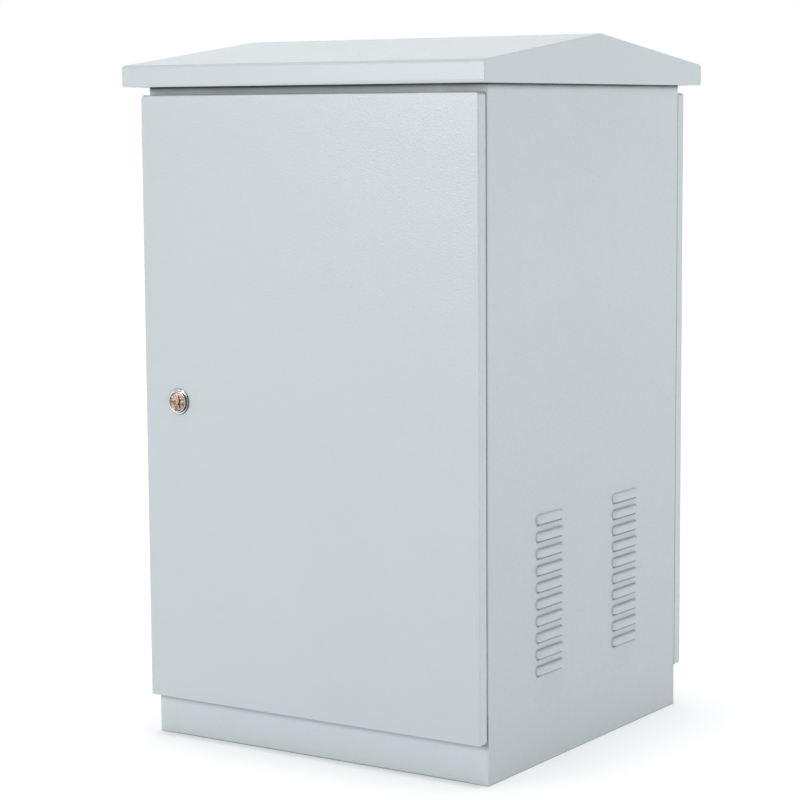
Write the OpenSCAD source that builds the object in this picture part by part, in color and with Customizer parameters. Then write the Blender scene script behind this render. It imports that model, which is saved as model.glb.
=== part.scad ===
// Roadside utility cabinet: folded steel body with louvred sides, gable roof,
// and a hinged, cam-locked door at the front and at the rear.
// Millimetres. The origin is on the floor under the middle of the body,
// +X to the right seen from the front, +Y to the rear, +Z up.

/* [Body] */
// Width across the two side panels
body_w = 600; // [580:10:900]
// Depth between the front and the rear frame face
body_d = 580; // [480:10:900]
// Height from the floor to the top plate of the body
body_h = 995; // [800:5:1500]
// Thickness of the body, door and roof sheet
sheet = 1.5; // [1.2:0.1:2]
// Inside radius of a sheet bend
bend_r = 1; // [0.6:0.1:1.5]
// Width of the upright frame flange beside a door opening
flange_w = 36; // [34:1:50]
// Height of the frame over a door opening
head_h = 36; // [30:1:60]
// Height of a door opening's sill above the floor
sill_h = 98; // [90:1:160]
// How far the gutter lip stands out around a door opening
lip_h = 10; // [8:0.5:12]
// Inward foot flange of the plinth
foot_w = 55; // [45:1:90]
// Turned-down edge of the top and the base plate
tray_edge = 25; // [15:1:26]

/* [Doors] */
// Height of a door's lower edge above the floor
door_foot = 63; // [50:1:85]
// Drop from the top of the body to a door's upper edge
door_drop = 9; // [6:1:20]
// Gap from the side of the body to the side of a door
door_inset = 1; // [0.5:0.5:3]
// Gap between the body frame and the back of a door
door_gap = 2; // [1.5:0.1:2.5]
// Depth of a door pan
door_depth = 20; // [19:0.5:24]
// Inward flange around the back of a door pan
pan_flange = 15; // [12:1:16]
// Width of the foam gasket
gasket_w = 12; // [8:1:13]
// Clearance that keeps a moving or soft face off its neighbour
seat_clear = 0.3; // [0.2:0.05:0.5]
// Height of a door stiffener above the skin
stiffener_h = 14; // [8:1:15]
// Width of the crown of a door stiffener
stiffener_w = 50; // [30:1:80]
// Width of a weld foot of a door stiffener
stiffener_foot = 15; // [10:1:25]

/* [Hinges] */
// Height of one hinge
hinge_h = 60; // [40:2:90]
// Distance from a door's end to the middle of its hinge
hinge_inset = 130; // [90:5:200]
// Radius of a hinge pin
pin_r = 2.5; // [2:0.1:2.8]
// Wall of a hinge knuckle
knuckle_wall = 2; // [1.5:0.1:2.2]
// Thickness of a hinge leaf
leaf_t = 2; // [1.5:0.1:2]
// Running clearance of a hinge pin
pin_clear = 0.06; // [0.03:0.01:0.1]
// From the outer side of a door to its pin
pin_from_side = 7.5; // [7.5:0.1:8]
// From the body frame face to the pin
pin_from_frame = 15; // [15:0.1:15.5]
// From the pin to the outer face of the fixed leaf's neck
neck_reach = 17; // [16.5:0.1:17.5]

/* [Lock] */
// From the outer side of a door to the lock axis
lock_inset = 64; // [60:1:90]
// Radius of the lock's front flange
lock_flange_r = 19.5; // [17:0.5:24]
// How far the lock stands out of the door
lock_proud = 5; // [3.5:0.5:8]
// Radius of the turning face of the lock
plug_face_r = 13.8; // [12.5:0.1:15]
// Radius of the lock's threaded barrel
barrel_r = 11; // [10:0.5:12]
// Radius of the plug inside the barrel
plug_r = 8; // [6:0.5:8.5]
// Running clearance of the plug
plug_clear = 0.06; // [0.03:0.01:0.1]
// Length of the locking cam from the lock axis
cam_len = 46; // [43:1:55]
// Width of the locking cam
cam_w = 16; // [12:1:20]
// Thickness of the locking cam
cam_t = 2.5; // [2:0.5:3.5]
// Gap between the frame flange and the locking cam
cam_gap = 1.5; // [1:0.5:3]
// Width of the key slot
key_w = 2.4; // [1.5:0.1:3]
// Height of the key slot in the lock's face
key_h = 18; // [15:0.5:20]
// Width across the flats of the lock nut
nut_af = 27; // [26:1:30]
// Thickness of the lock nut
nut_t = 4; // [3:0.5:5]

/* [Louvres] */
// Louvres in one column
louvre_rows = 10; // [4:1:14]
// Vertical pitch of the louvres
louvre_pitch = 25; // [20:1:40]
// Length of a louvre
louvre_len = 77; // [50:1:100]
// Height of a louvre
louvre_rise = 12; // [8:0.5:16]
// How far a louvre stands out of the panel
louvre_out = 5.5; // [3:0.5:8]
// Distance between the two louvre columns
louvre_span = 233; // [180:1:260]
// Height of the lowest louvre's mouth above the sill
louvre_foot = 37.5; // [35:0.5:80]

/* [Filters] */
// Depth of a filter holder
holder_depth = 12; // [9:1:20]
// Sheet thickness of a filter holder
holder_t = 1; // [0.8:0.1:1.5]
// Margin of a filter holder around the louvres
holder_margin = 9; // [8:1:12]
// Width of the rim that keeps the mat in its holder
holder_rim = 14; // [8:1:20]

/* [Roof] */
// Height of the roof's lower edge above the top plate
roof_gap = 3; // [2:0.5:8]
// Overhang of the roof over the front and the rear
eave_out = 40; // [35:1:70]
// Overhang of the roof over the sides
verge_out = 20; // [10:1:40]
// Height of the roof's upright edge
fascia_h = 32; // [26:1:60]
// Rise from the top of the upright edge to the ridge
ridge_rise = 42; // [25:1:90]
// Inward flange under the roof's edge
roof_return = 12; // [8:1:18]
// Width of a roof brace
brace_w = 40; // [30:1:60]
// Height of a roof brace
brace_h = 22; // [12:1:24]
// Distance from the body's side to the middle of a roof brace
brace_inset = 85; // [60:5:120]
// Distance from the frame face to a roof bolt
roof_bolt_inset = 90; // [60:5:140]

/* [Rack] */
// Rack hole spacing across the cabinet
rack_span = 465.1; // [465.1]
// Height of one rack unit
rack_unit = 44.45; // [44.45]
// Side of a square rack hole
rack_hole = 9.5; // [9:0.1:10]
// Sheet thickness of the posts and rails
post_t = 2; // [1.5:0.1:2.5]
// Width of the pierced face of a rack post
post_face = 36.5; // [30:0.5:40]
// Depth of the side leg of a rack post
post_leg = 40; // [30:1:60]
// Distance from the frame face to a rack post
post_inset = 55; // [45:1:90]
// Height of a side rail
rail_h = 28; // [20:1:30]
// Rack unit that the shelf stands in, counted from the bottom
shelf_unit = 6; // [3:1:12]
// Clearance beside the shelf between the posts
shelf_clear = 2.5; // [1:0.5:5]

/* [Base] */
// Width of the gland plate
gland_w = 340; // [280:5:420]
// Depth of the gland plate
gland_d = 150; // [110:5:200]
// Overlap of the gland plate on the base plate
gland_lap = 15; // [10:1:20]
// Distance of the gland plate's middle behind the body's middle
gland_y = 90; // [0:5:120]
// Radius of a cable entry
entry_r = 22; // [16:1:26]
// Wall of a cable grommet inside its plate
grommet_wall = 4; // [3:0.5:6]
// Distance between the two cable entries
entry_span = 150; // [120:5:200]
// Radius of a floor anchor hole
anchor_r = 7; // [5:0.5:9]
// Distance between the anchor holes across the cabinet
anchor_span_x = 460; // [300:10:500]
// Distance from the frame face to an anchor hole
anchor_inset = 32; // [25:1:40]

/* [Hidden] */
$fn = 48;
paint = [0.78, 0.81, 0.82];
zinc = [0.66, 0.68, 0.70];
steel = [0.55, 0.56, 0.58];
chrome = [0.85, 0.86, 0.88];
bronze = [0.62, 0.47, 0.36];
black_rubber = [0.08, 0.08, 0.08];
grey_foam = [0.24, 0.25, 0.26];

tiny = 0.01; // how far a cutter runs past what it cuts

// Body frame
half_w = body_w / 2;
half_d = body_d / 2;
inner_w = half_w - sheet;
inner_d = half_d - sheet;
opening_x = half_w - flange_w; // where the flange turns into the lip
opening_top = body_h - head_h;
lip_x = opening_x - sheet / 2; // middle of an upright lip
lip_y = half_d + lip_h;
floor_z = sill_h - sheet; // top of the base plate

// Doors
door_w = body_w - 2 * door_inset;
door_top = body_h - door_drop;
door_h = door_top - door_foot;
door_mid = (door_top + door_foot) / 2;
door_back = half_d + door_gap;
door_face = door_back + door_depth;
skin_back = door_face - sheet; // hidden side of the door skin
door_side = door_w / 2;

// Hinges
knuckle_r = pin_r + knuckle_wall;
pin_x = door_side - pin_from_side;
pin_y = half_d + pin_from_frame;
half_knuckle = (hinge_h - seat_clear) / 2;
hinge_levels = [door_foot + hinge_inset, door_top - hinge_inset];
notch_extra = 5; // play of the pan's notch around a hinge

// Lock
lock_x = -(door_side - lock_inset);
cam_front = inner_d - cam_gap; // face of the cam towards the frame
plug_depth = 2.2; // thickness of the plug's turning face
stub = 8; // side of the square that drives the cam
screw_r = 2.5;

// Roof
roof_z = body_h + roof_gap;
wall_top = roof_z + 1; // the walls end just inside the roof and keep rain out
eave_y = half_d + eave_out;
verge_x = half_w + verge_out;
slope = atan(ridge_rise / eave_y);
brace_x = half_w - brace_inset;
roof_bolt_y = half_d - roof_bolt_inset;
bolt_r = 4; // M8
bolt_play = 0.5;
brace_z = roof_z + sheet; // the braces lie on the roof's inward flange

// Rack
post_x = rack_span / 2; // column of square holes
post_inner = post_x - 7.15; // edge of the clear rack opening
post_outer = post_inner + post_face;
post_y = half_d - post_inset;
post_top = opening_top;
post_h = post_top - floor_z;
rack_units = floor((post_h - 2 * rail_h) / rack_unit);
rack_foot = floor_z + (post_h - rack_units * rack_unit) / 2;
hole_steps = [6.35, 22.225, 38.1]; // hole heights in one rack unit
rail_levels = [floor_z, post_top - rail_h];
m6_r = 3;
m6_play = 0.3;

// Louvres and filters
louvre_r = (louvre_rise * louvre_rise + louvre_out * louvre_out) / (2 * louvre_out);
louvre_z = sill_h + louvre_foot;
louvre_top = louvre_z + (louvre_rows - 1) * louvre_pitch + louvre_rise;
holder_half = louvre_span / 2 + louvre_len / 2 + 2 * holder_margin + holder_t;
holder_foot = louvre_z - holder_margin;
holder_top = louvre_top + holder_margin;

flange_end = opening_x + bend_r + sheet; // where the flat flange meets the plinth
neck_x = pin_x - neck_reach - leaf_t / 2; // middle of the hinge neck's sheet
cam_z = cam_front - door_face; // cam's seat from the door face, along the lock axis
barrel_len = door_face - cam_front - seat_clear;
key_off = plug_r * 0.525; // the key slot sits beside the axis
shelf_z = rack_foot + (shelf_unit - 1) * rack_unit;
ear_x = 241.3; // half of a 19 inch front
vent_y = inner_d * 0.35;
vent_pitch = 50;
vent_len = 80;
vent_w = 8;
drain_x = inner_w - 14;
drain_y = inner_d - 40;
earth_x = post_inner + 15; // between the rack opening and the side rails
earth_y = 45 + post_leg - post_y;
shelf_slot_pitch = 55;
shelf_slot_len = 130;
stiffener_x = opening_x * 0.42;
stiffener_end = 30;

// ---------- shared shapes ----------

function heading(a, b) = atan2(b[1] - a[1], b[0] - a[0]);
function wrapped(angle) = angle - 360 * round(angle / 360);

// Section of a folded sheet: path is the middle of the sheet, bent at each inner point
module fold(path, t = sheet, r = bend_r) {
    mid_r = r + t / 2;
    last = len(path) - 1;
    turns = [for (i = [1 : last - 1])
        wrapped(heading(path[i], path[i + 1]) - heading(path[i - 1], path[i]))];
    cuts = [0, for (a = turns) mid_r * tan(abs(a) / 2), 0];
    for (i = [0 : last - 1])
        translate(path[i])
            rotate(heading(path[i], path[i + 1]))
                translate([cuts[i], -t / 2])
                    square([norm(path[i + 1] - path[i]) - cuts[i] - cuts[i + 1], t]);
    for (i = [1 : last - 1])
        translate(path[i])
            rotate(heading(path[i - 1], path[i]))
                translate([-cuts[i], sign(turns[i - 1]) * mid_r])
                    bend(turns[i - 1], t, r);
}

// Ring sector of one bend, starting below its centre for a left turn
module bend(turn, t, r) {
    reach = 2 * (r + t);
    start = -90 * sign(turn);
    intersection() {
        difference() {
            circle(r + t);
            circle(r);
        }
        polygon([[0, 0], for (k = [0 : 2])
            reach * [cos(start + k * turn / 2), sin(start + k * turn / 2)]]);
    }
}

// Solid between two opposite corners
module block(low, high) {
    translate(low)
        cube(high - low);
}

// Plan section raised from one height to another
module upright(from, to) {
    translate([0, 0, from])
        linear_extrude(to - from)
            children();
}

// Section drawn in depth and height, run along the width
module along_x(from, to) {
    translate([from, 0, 0])
        rotate([90, 0, 90])
            linear_extrude(to - from)
                children();
}

// Section drawn in width and height, run along the depth
module along_y(from, to) {
    translate([0, to, 0])
        rotate([90, 0, 0])
            linear_extrude(to - from)
                children();
}

// Rectangle with round corners
module soft_rect(low, high, r) {
    translate([low[0] + r, low[1]])
        square([high[0] - low[0] - 2 * r, high[1] - low[1]]);
    translate([low[0], low[1] + r])
        square([high[0] - low[0], high[1] - low[1] - 2 * r]);
    for (x = [low[0] + r, high[0] - r], y = [low[1] + r, high[1] - r])
        translate([x, y])
            circle(r);
}

// Round-ended slot along X
module slot(length, width) {
    square([length - width, width], center = true);
    for (x = [-1, 1] * (length - width) / 2)
        translate([x, 0])
            circle(width / 2);
}

// Round hole or bar along Z
module rod(r, from, to) {
    translate([0, 0, from])
        cylinder(r = r, h = to - from);
}

// Hexagon prism along Z
module hex(af, from, to) {
    translate([0, 0, from])
        cylinder(d = af / cos(30), h = to - from, $fn = 6);
}

// Sheet plate with four edges turned down, its top at z = 0
module tray(w, d, edge, t = sheet) {
    relief = bend_r + t;
    along_y(relief - d / 2, d / 2 - relief)
        fold([[(t - w) / 2, -edge], [(t - w) / 2, -t / 2],
            [(w - t) / 2, -t / 2], [(w - t) / 2, -edge]], t);
    along_x(relief - w / 2, w / 2 - relief)
        fold([[(t - d) / 2, -edge], [(t - d) / 2, -t / 2],
            [(d - t) / 2, -t / 2], [(d - t) / 2, -edge]], t);
}

// The same thing on the other side of the cabinet
module turned() {
    rotate([0, 0, 180])
        children();
}

// ---------- body ----------

module louvre_form(r) {
    reach = louvre_len / 2 - louvre_rise;
    translate([louvre_out - louvre_r, 0, 0]) {
        rotate([90, 0, 0])
            cylinder(r = r, h = 2 * reach, center = true);
        for (y = [-reach, reach])
            translate([0, y, 0])
                sphere(r);
    }
}

module each_louvre() {
    for (y = [-1, 1] * louvre_span / 2, i = [0 : louvre_rows - 1])
        translate([half_w, y, louvre_z + i * louvre_pitch])
            children();
}

module louvre_hood() {
    intersection() {
        louvre_form(louvre_r);
        block([-sheet / 2, -louvre_len, 0], [louvre_out + 1, louvre_len, louvre_rise + 1]);
    }
}

module louvre_mouth() {
    intersection() {
        louvre_form(louvre_r - sheet);
        block([-2 * sheet, -louvre_len, -0.5], [louvre_out, louvre_len, louvre_rise]);
    }
}

module side_panel() {
    s = sheet / 2;
    difference() {
        union() {
            difference() {
                upright(0, wall_top)
                    fold([[opening_x + s, -lip_y], [opening_x + s, s - half_d],
                        [half_w - s, s - half_d], [half_w - s, half_d - s],
                        [opening_x + s, half_d - s], [opening_x + s, lip_y]]);
                for (side = [0, 180], z = [[-1, sill_h], [opening_top, wall_top + 1]])
                    mirror([0, side / 180, 0])
                        block([opening_x - 1, inner_d - 1, z[0]], [flange_end, lip_y + 1, z[1]]);
            }
            each_louvre()
                louvre_hood();
        }
        each_louvre()
            louvre_mouth();
        for (z = hinge_levels)
            block([neck_x - leaf_t / 2 - seat_clear, -half_d - 1, z - hinge_h / 2 - seat_clear],
                [neck_x + leaf_t / 2 + bend_r + seat_clear, 1 - inner_d, z]);
    }
}

module side_panel_right() {
    color(paint)
        side_panel();
}

module side_panel_left() {
    color(paint)
        turned()
            side_panel();
}

module top_rail() {
    s = sheet / 2;
    along_x(-flange_end, flange_end)
        fold([[-lip_y, opening_top + s], [s - half_d, opening_top + s], [s - half_d, wall_top]]);
}

module front_top_rail() {
    color(paint)
        top_rail();
}

module rear_top_rail() {
    color(paint)
        turned()
            top_rail();
}

module plinth() {
    s = sheet / 2;
    difference() {
        along_x(-flange_end, flange_end)
            fold([[-lip_y, sill_h - s], [s - half_d, sill_h - s],
                [s - half_d, s], [foot_w - half_d, s]]);
        for (x = [-1, 1] * anchor_span_x / 2)
            translate([x, anchor_inset - half_d, 0])
                rod(anchor_r, -1, sheet + 1);
    }
}

module front_plinth() {
    color(paint)
        plinth();
}

module rear_plinth() {
    color(paint)
        turned()
            plinth();
}

module each_roof_bolt() {
    for (x = [-brace_x, brace_x], y = [-roof_bolt_y, roof_bolt_y])
        translate([x, y, 0])
            children();
}

module top_plate() {
    color(paint)
        difference() {
            translate([0, 0, body_h])
                tray(2 * inner_w, 2 * inner_d, tray_edge);
            each_roof_bolt()
                rod(bolt_r + bolt_play, body_h - 5, body_h + 5);
            for (x = [-3 : 3], y = [-1, 1] * vent_y)
                translate([x * vent_pitch, y, body_h - 5])
                    rotate(90)
                        linear_extrude(10)
                            slot(vent_len, vent_w);
        }
}

module each_gland_screw() {
    for (x = [-1, 0, 1] * (gland_w - gland_lap) / 2, y = [-1, 1] * (gland_d - gland_lap) / 2)
        translate([x, gland_y + y, floor_z])
            children();
}

module each_entry() {
    for (x = [-1, 1] * entry_span / 2)
        translate([x, gland_y, floor_z])
            children();
}

module base_plate() {
    color(paint)
        difference() {
            translate([0, 0, floor_z])
                tray(2 * inner_w, 2 * inner_d, tray_edge);
            translate([0, gland_y, floor_z - 5])
                linear_extrude(10)
                    soft_rect([gland_lap - gland_w / 2, gland_lap - gland_d / 2],
                        [gland_w / 2 - gland_lap, gland_d / 2 - gland_lap], 6);
            each_gland_screw()
                rod(screw_r, -5, 5);
            for (x = [-1, 1] * drain_x, y = [-1, 1] * drain_y)
                translate([x, y, floor_z])
                    rod(4, -5, 5);
        }
}

module gland_plate() {
    color(zinc)
        difference() {
            translate([0, gland_y, floor_z])
                linear_extrude(post_t)
                    soft_rect([-gland_w / 2, -gland_d / 2], [gland_w / 2, gland_d / 2], 6);
            each_gland_screw()
                rod(screw_r + 0.3, -5, 5);
            each_entry()
                rod(entry_r, -5, 5);
        }
}

module gland_plate_screws() {
    color(steel)
        each_gland_screw() {
            rod(screw_r, -8, post_t + 1);
            difference() {
                rod(4.5, post_t, post_t + 3.5);
                hex(4, post_t + 1.2, post_t + 5);
            }
        }
}

module cable_grommets() {
    color(black_rubber)
        each_entry()
            rotate_extrude()
                polygon([[entry_r - grommet_wall, -3], [entry_r + 3, -3], [entry_r + 4, -2],
                    [entry_r + 4, 0], [entry_r, 0], [entry_r, post_t], [entry_r + 4, post_t],
                    [entry_r + 4, post_t + 2], [entry_r + 3, post_t + 3],
                    [entry_r - grommet_wall, post_t + 3]]);
}

module earth_stud() {
    color(steel)
        translate([earth_x, earth_y, floor_z]) {
            hex(13, 0, 5);
            rod(bolt_r, 1, 25);
        }
}

// ---------- roof ----------

// Gable outline of the roof sheet, or of its hidden side when inset by the sheet
module roof_form(inset, r) {
    side = eave_y - inset;
    foot = roof_z + inset;
    shoulder = roof_z + fascia_h + inset * tan(slope) - inset / cos(slope);
    ridge = roof_z + fascia_h + ridge_rise - inset / cos(slope);
    polygon([[r - side, foot], [side - r, foot], [side, foot + r], [side, shoulder],
        [0, ridge], [-side, shoulder], [-side, foot + r]]);
    for (y = [r - side, side - r])
        translate([y, foot + r])
            circle(r);
}

module roof_cap() {
    color(paint)
        difference() {
            along_x(-verge_x, verge_x)
                roof_form(0, bend_r + sheet);
            along_x(sheet - verge_x, verge_x - sheet)
                roof_form(sheet, bend_r);
            block([roof_return - verge_x, roof_return - eave_y, roof_z - 1],
                [verge_x - roof_return, eave_y - roof_return, roof_z + sheet + 1]);
        }
}

module roof_brace() {
    s = sheet / 2;
    side = brace_w / 2 - s;
    difference() {
        along_y(5 - eave_y, eave_y - 5)
            fold([[brace_x - side, brace_z + brace_h], [brace_x - side, brace_z + s],
                [brace_x + side, brace_z + s], [brace_x + side, brace_z + brace_h]]);
        each_roof_bolt()
            rod(bolt_r + bolt_play, brace_z - 1, brace_z + 5);
    }
}

module roof_brace_right() {
    color(zinc)
        roof_brace();
}

module roof_brace_left() {
    color(zinc)
        turned()
            roof_brace();
}

module roof_spacers() {
    color(black_rubber)
        each_roof_bolt()
            difference() {
                rod(9, body_h, brace_z);
                rod(bolt_r + bolt_play, body_h - 1, brace_z + 1);
            }
}

module roof_bolts() {
    color(steel)
        each_roof_bolt() {
            hex(13, body_h - sheet - 5.3, body_h - sheet);
            rod(bolt_r, body_h - sheet - 3, brace_z + sheet + 10);
        }
}

module roof_nuts() {
    color(steel)
        each_roof_bolt()
            difference() {
                hex(13, brace_z + sheet, brace_z + sheet + 6.5);
                rod(bolt_r, brace_z, brace_z + sheet + 8);
            }
}

// ---------- filters ----------

module filter_holder() {
    x = inner_w - holder_depth;
    difference() {
        union() {
            block([x, -holder_half, holder_foot], [inner_w, holder_half, holder_top]);
            block([inner_w - holder_t, -holder_half - 12, holder_foot],
                [inner_w, holder_half + 12, holder_top]);
        }
        block([x + holder_t, holder_t - holder_half, holder_foot + holder_t],
            [inner_w + 1, holder_half - holder_t, holder_top - holder_t]);
        along_x(x - 1, x + holder_t + 1)
            for (side = [-1, 1])
                translate([side * holder_half / 2, 0])
                    soft_rect([holder_rim - holder_half / 2, holder_foot + holder_rim],
                        [holder_half / 2 - holder_rim, holder_top - holder_rim], 6);
    }
}

module filter_holder_right() {
    color(zinc)
        filter_holder();
}

module filter_holder_left() {
    color(zinc)
        turned()
            filter_holder();
}

module filter_mat() {
    edge = holder_t + seat_clear;
    block([inner_w - holder_depth + holder_t, edge - holder_half, holder_foot + edge],
        [inner_w, holder_half - edge, holder_top - edge]);
}

module filter_mat_right() {
    color(grey_foam)
        filter_mat();
}

module filter_mat_left() {
    color(grey_foam)
        turned()
            filter_mat();
}

// ---------- rack ----------

module side_rails() {
    t = post_t / 2;
    difference() {
        along_y(-post_y, post_y)
            for (z = rail_levels)
                fold([[post_outer + t, z], [post_outer + t, z + rail_h - t],
                    [inner_w - t, z + rail_h - t], [inner_w - t, z]], post_t);
        each_post_bolt()
            rod(m6_r + m6_play, -1, 2 * post_t + 1);
    }
}

module side_rails_right() {
    color(zinc)
        side_rails();
}

module side_rails_left() {
    color(zinc)
        turned()
            side_rails();
}

// Axis across the post's leg and the rail's web, from the leg's inner face outwards
module each_post_bolt() {
    for (y = [-1, 1] * (post_y - post_leg / 2), z = rail_levels)
        translate([post_outer - post_t, y, z + rail_h / 2])
            rotate([0, 90, 0])
                children();
}

module rack_post() {
    t = post_t / 2;
    difference() {
        upright(floor_z, post_top)
            fold([[post_inner, t - post_y], [post_outer - t, t - post_y],
                [post_outer - t, post_leg - post_y]], post_t);
        for (u = [0 : rack_units - 1], step = hole_steps)
            translate([post_x, -post_y, rack_foot + u * rack_unit + step])
                cube([rack_hole, 10, rack_hole], center = true);
        each_post_bolt()
            rod(m6_r + m6_play, -1, 2 * post_t + 1);
    }
}

module rack_post_front_right() {
    color(zinc)
        rack_post();
}

module rack_post_front_left() {
    color(zinc)
        mirror([1, 0, 0])
            rack_post();
}

module rack_post_rear_left() {
    color(zinc)
        turned()
            rack_post();
}

module rack_post_rear_right() {
    color(zinc)
        mirror([0, 1, 0])
            rack_post();
}

module post_bolts() {
    color(steel)
        for (a = [0, 180])
            rotate(a)
                each_post_bolt() {
                    rod(m6_r, -1, 2 * post_t + 8);
                    hex(10, -4, 0);
                }
}

module post_nuts() {
    color(steel)
        for (a = [0, 180])
            rotate(a)
                each_post_bolt()
                    difference() {
                        hex(10, 2 * post_t, 2 * post_t + 5);
                        rod(m6_r, post_t, 2 * post_t + 6);
                    }
}

// Axis of each shelf screw, from the post's pierced face outwards
module each_shelf_screw() {
    for (a = [0, 180], x = [-post_x, post_x], step = [hole_steps[0], hole_steps[2]])
        rotate(a)
            translate([x, -post_y, shelf_z + step])
                rotate([90, 0, 0])
                    children();
}

module shelf() {
    t = post_t / 2;
    half = post_inner - shelf_clear;
    top = shelf_z + rack_unit - 0.4;
    color(zinc)
        difference() {
            union() {
                along_x(-half, half)
                    fold([[-post_y - t, top], [-post_y - t, shelf_z + t],
                        [post_y + t, shelf_z + t], [post_y + t, top]], post_t);
                for (side = [0, 1])
                    mirror([0, side, 0])
                        block([-ear_x, -post_y - post_t, shelf_z + 4], [ear_x, -post_y, top]);
            }
            for (x = [-3 : 3], y = [-1, 1] * post_y / 2)
                translate([x * shelf_slot_pitch, y, shelf_z - 1])
                    rotate(90)
                        linear_extrude(post_t + 2)
                            slot(shelf_slot_len, 8);
            each_shelf_screw()
                rod(m6_r + m6_play, -1, post_t + 1);
        }
}

module shelf_screws() {
    color(steel)
        each_shelf_screw() {
            rod(m6_r, -post_t - 9, post_t + 1);
            difference() {
                rod(5.5, post_t, post_t + 4);
                hex(4, post_t + 1.5, post_t + 5);
            }
        }
}

module cage_nuts() {
    color(steel)
        each_shelf_screw()
            difference() {
                union() {
                    translate([0, 0, -post_t / 2])
                        cube([rack_hole - 0.2, rack_hole - 0.2, post_t], center = true);
                    translate([0, 0, -post_t - 2.5])
                        cube([13, 11, 5], center = true);
                }
                rod(m6_r, -post_t - 6, 1);
            }
}

// ---------- doors ----------

module pan_form(inset) {
    r = bend_r + sheet - inset;
    intersection() {
        upright(door_foot + inset, door_top - inset)
            soft_rect([inset - door_side, inset - door_face], [door_side - inset, -door_back - inset], r);
        along_x(inset - door_side, door_side - inset)
            soft_rect([inset - door_face, door_foot + inset], [-door_back - inset, door_top - inset], r);
    }
}

module door_pan() {
    difference() {
        pan_form(0);
        pan_form(sheet);
        block([pan_flange - door_side, -door_back - 5, door_foot + pan_flange],
            [door_side - pan_flange, 1 - door_back, door_top - pan_flange]);
        for (z = hinge_levels)
            block([door_side - pan_flange - 1, -door_back - 5, z - hinge_h / 2 - notch_extra],
                [door_side - sheet, 1 - door_back, z + hinge_h / 2 + notch_extra]);
        at_lock()
            rod(barrel_r + seat_clear, -5, 5);
    }
}

module front_door_pan() {
    color(paint)
        door_pan();
}

module rear_door_pan() {
    color(paint)
        turned()
            door_pan();
}

module door_gasket() {
    reach = sheet / 2 + gasket_w / 2;
    hole = gasket_w / 2 - sheet / 2;
    difference() {
        block([-opening_x - reach, -skin_back, sill_h - reach],
            [opening_x + reach, -lip_y - seat_clear, opening_top + reach]);
        block([hole - opening_x, -skin_back - 1, sill_h + hole],
            [opening_x - hole, 1 - lip_y, opening_top - hole]);
    }
}

module front_door_gasket() {
    color(black_rubber)
        door_gasket();
}

module rear_door_gasket() {
    color(black_rubber)
        turned()
            door_gasket();
}

module door_stiffeners() {
    s = sheet / 2;
    low = s - skin_back;
    high = low + stiffener_h - sheet;
    half = stiffener_w / 2;
    upright(sill_h + stiffener_end, opening_top - stiffener_end)
        for (x = [-stiffener_x, stiffener_x])
            translate([x, 0])
                fold([[-half - stiffener_foot, low], [-half, low], [-half, high],
                    [half, high], [half, low], [half + stiffener_foot, low]]);
}

module front_door_stiffeners() {
    color(paint)
        door_stiffeners();
}

module rear_door_stiffeners() {
    color(paint)
        turned()
            door_stiffeners();
}

// ---------- hinges ----------

module hinge_fixed(z) {
    back = leaf_t / 2 - inner_d;
    difference() {
        upright(z - hinge_h / 2, z - seat_clear / 2) {
            fold([[pin_x, -pin_y], [neck_x, -pin_y], [neck_x, back], [pin_x + 5, back]], leaf_t);
            translate([pin_x, -pin_y])
                circle(knuckle_r);
        }
        translate([pin_x, -pin_y, z])
            rod(pin_r, -hinge_h, hinge_h);
    }
}

module hinge_door(z) {
    difference() {
        upright(z + seat_clear / 2, z + hinge_h / 2) {
            translate([pin_x - 15, -skin_back])
                square([15 + knuckle_r, leaf_t]);
            translate([pin_x - knuckle_r * 0.55, -skin_back])
                square([knuckle_r * 1.1, skin_back - pin_y]);
            translate([pin_x, -pin_y])
                circle(knuckle_r);
        }
        translate([pin_x, -pin_y, z])
            rod(pin_r + pin_clear, -hinge_h, hinge_h);
    }
}

module hinge_pins() {
    for (z = hinge_levels)
        translate([pin_x, -pin_y, z]) {
            rod(pin_r, -hinge_h / 2, hinge_h / 2 + seat_clear);
            rod(pin_r + 1.5, hinge_h / 2 + seat_clear, hinge_h / 2 + seat_clear + 1.5);
        }
}

module front_hinge_fixed_lower() {
    color(steel)
        hinge_fixed(hinge_levels[0]);
}

module front_hinge_fixed_upper() {
    color(steel)
        hinge_fixed(hinge_levels[1]);
}

module front_hinge_pins() {
    color(steel)
        hinge_pins();
}

module front_hinge_door_lower() {
    color(steel)
        hinge_door(hinge_levels[0]);
}

module front_hinge_door_upper() {
    color(steel)
        hinge_door(hinge_levels[1]);
}

module rear_hinge_fixed_lower() {
    color(steel)
        turned()
            hinge_fixed(hinge_levels[0]);
}

module rear_hinge_fixed_upper() {
    color(steel)
        turned()
            hinge_fixed(hinge_levels[1]);
}

module rear_hinge_pins() {
    color(steel)
        turned()
            hinge_pins();
}

module rear_hinge_door_lower() {
    color(steel)
        turned()
            hinge_door(hinge_levels[0]);
}

module rear_hinge_door_upper() {
    color(steel)
        turned()
            hinge_door(hinge_levels[1]);
}

// ---------- locks ----------

// Lock axis: local +Z points out of the door, z = 0 on the door's face
module at_lock() {
    translate([lock_x, -door_face, door_mid])
        rotate([90, 0, 0])
            children();
}

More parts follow.
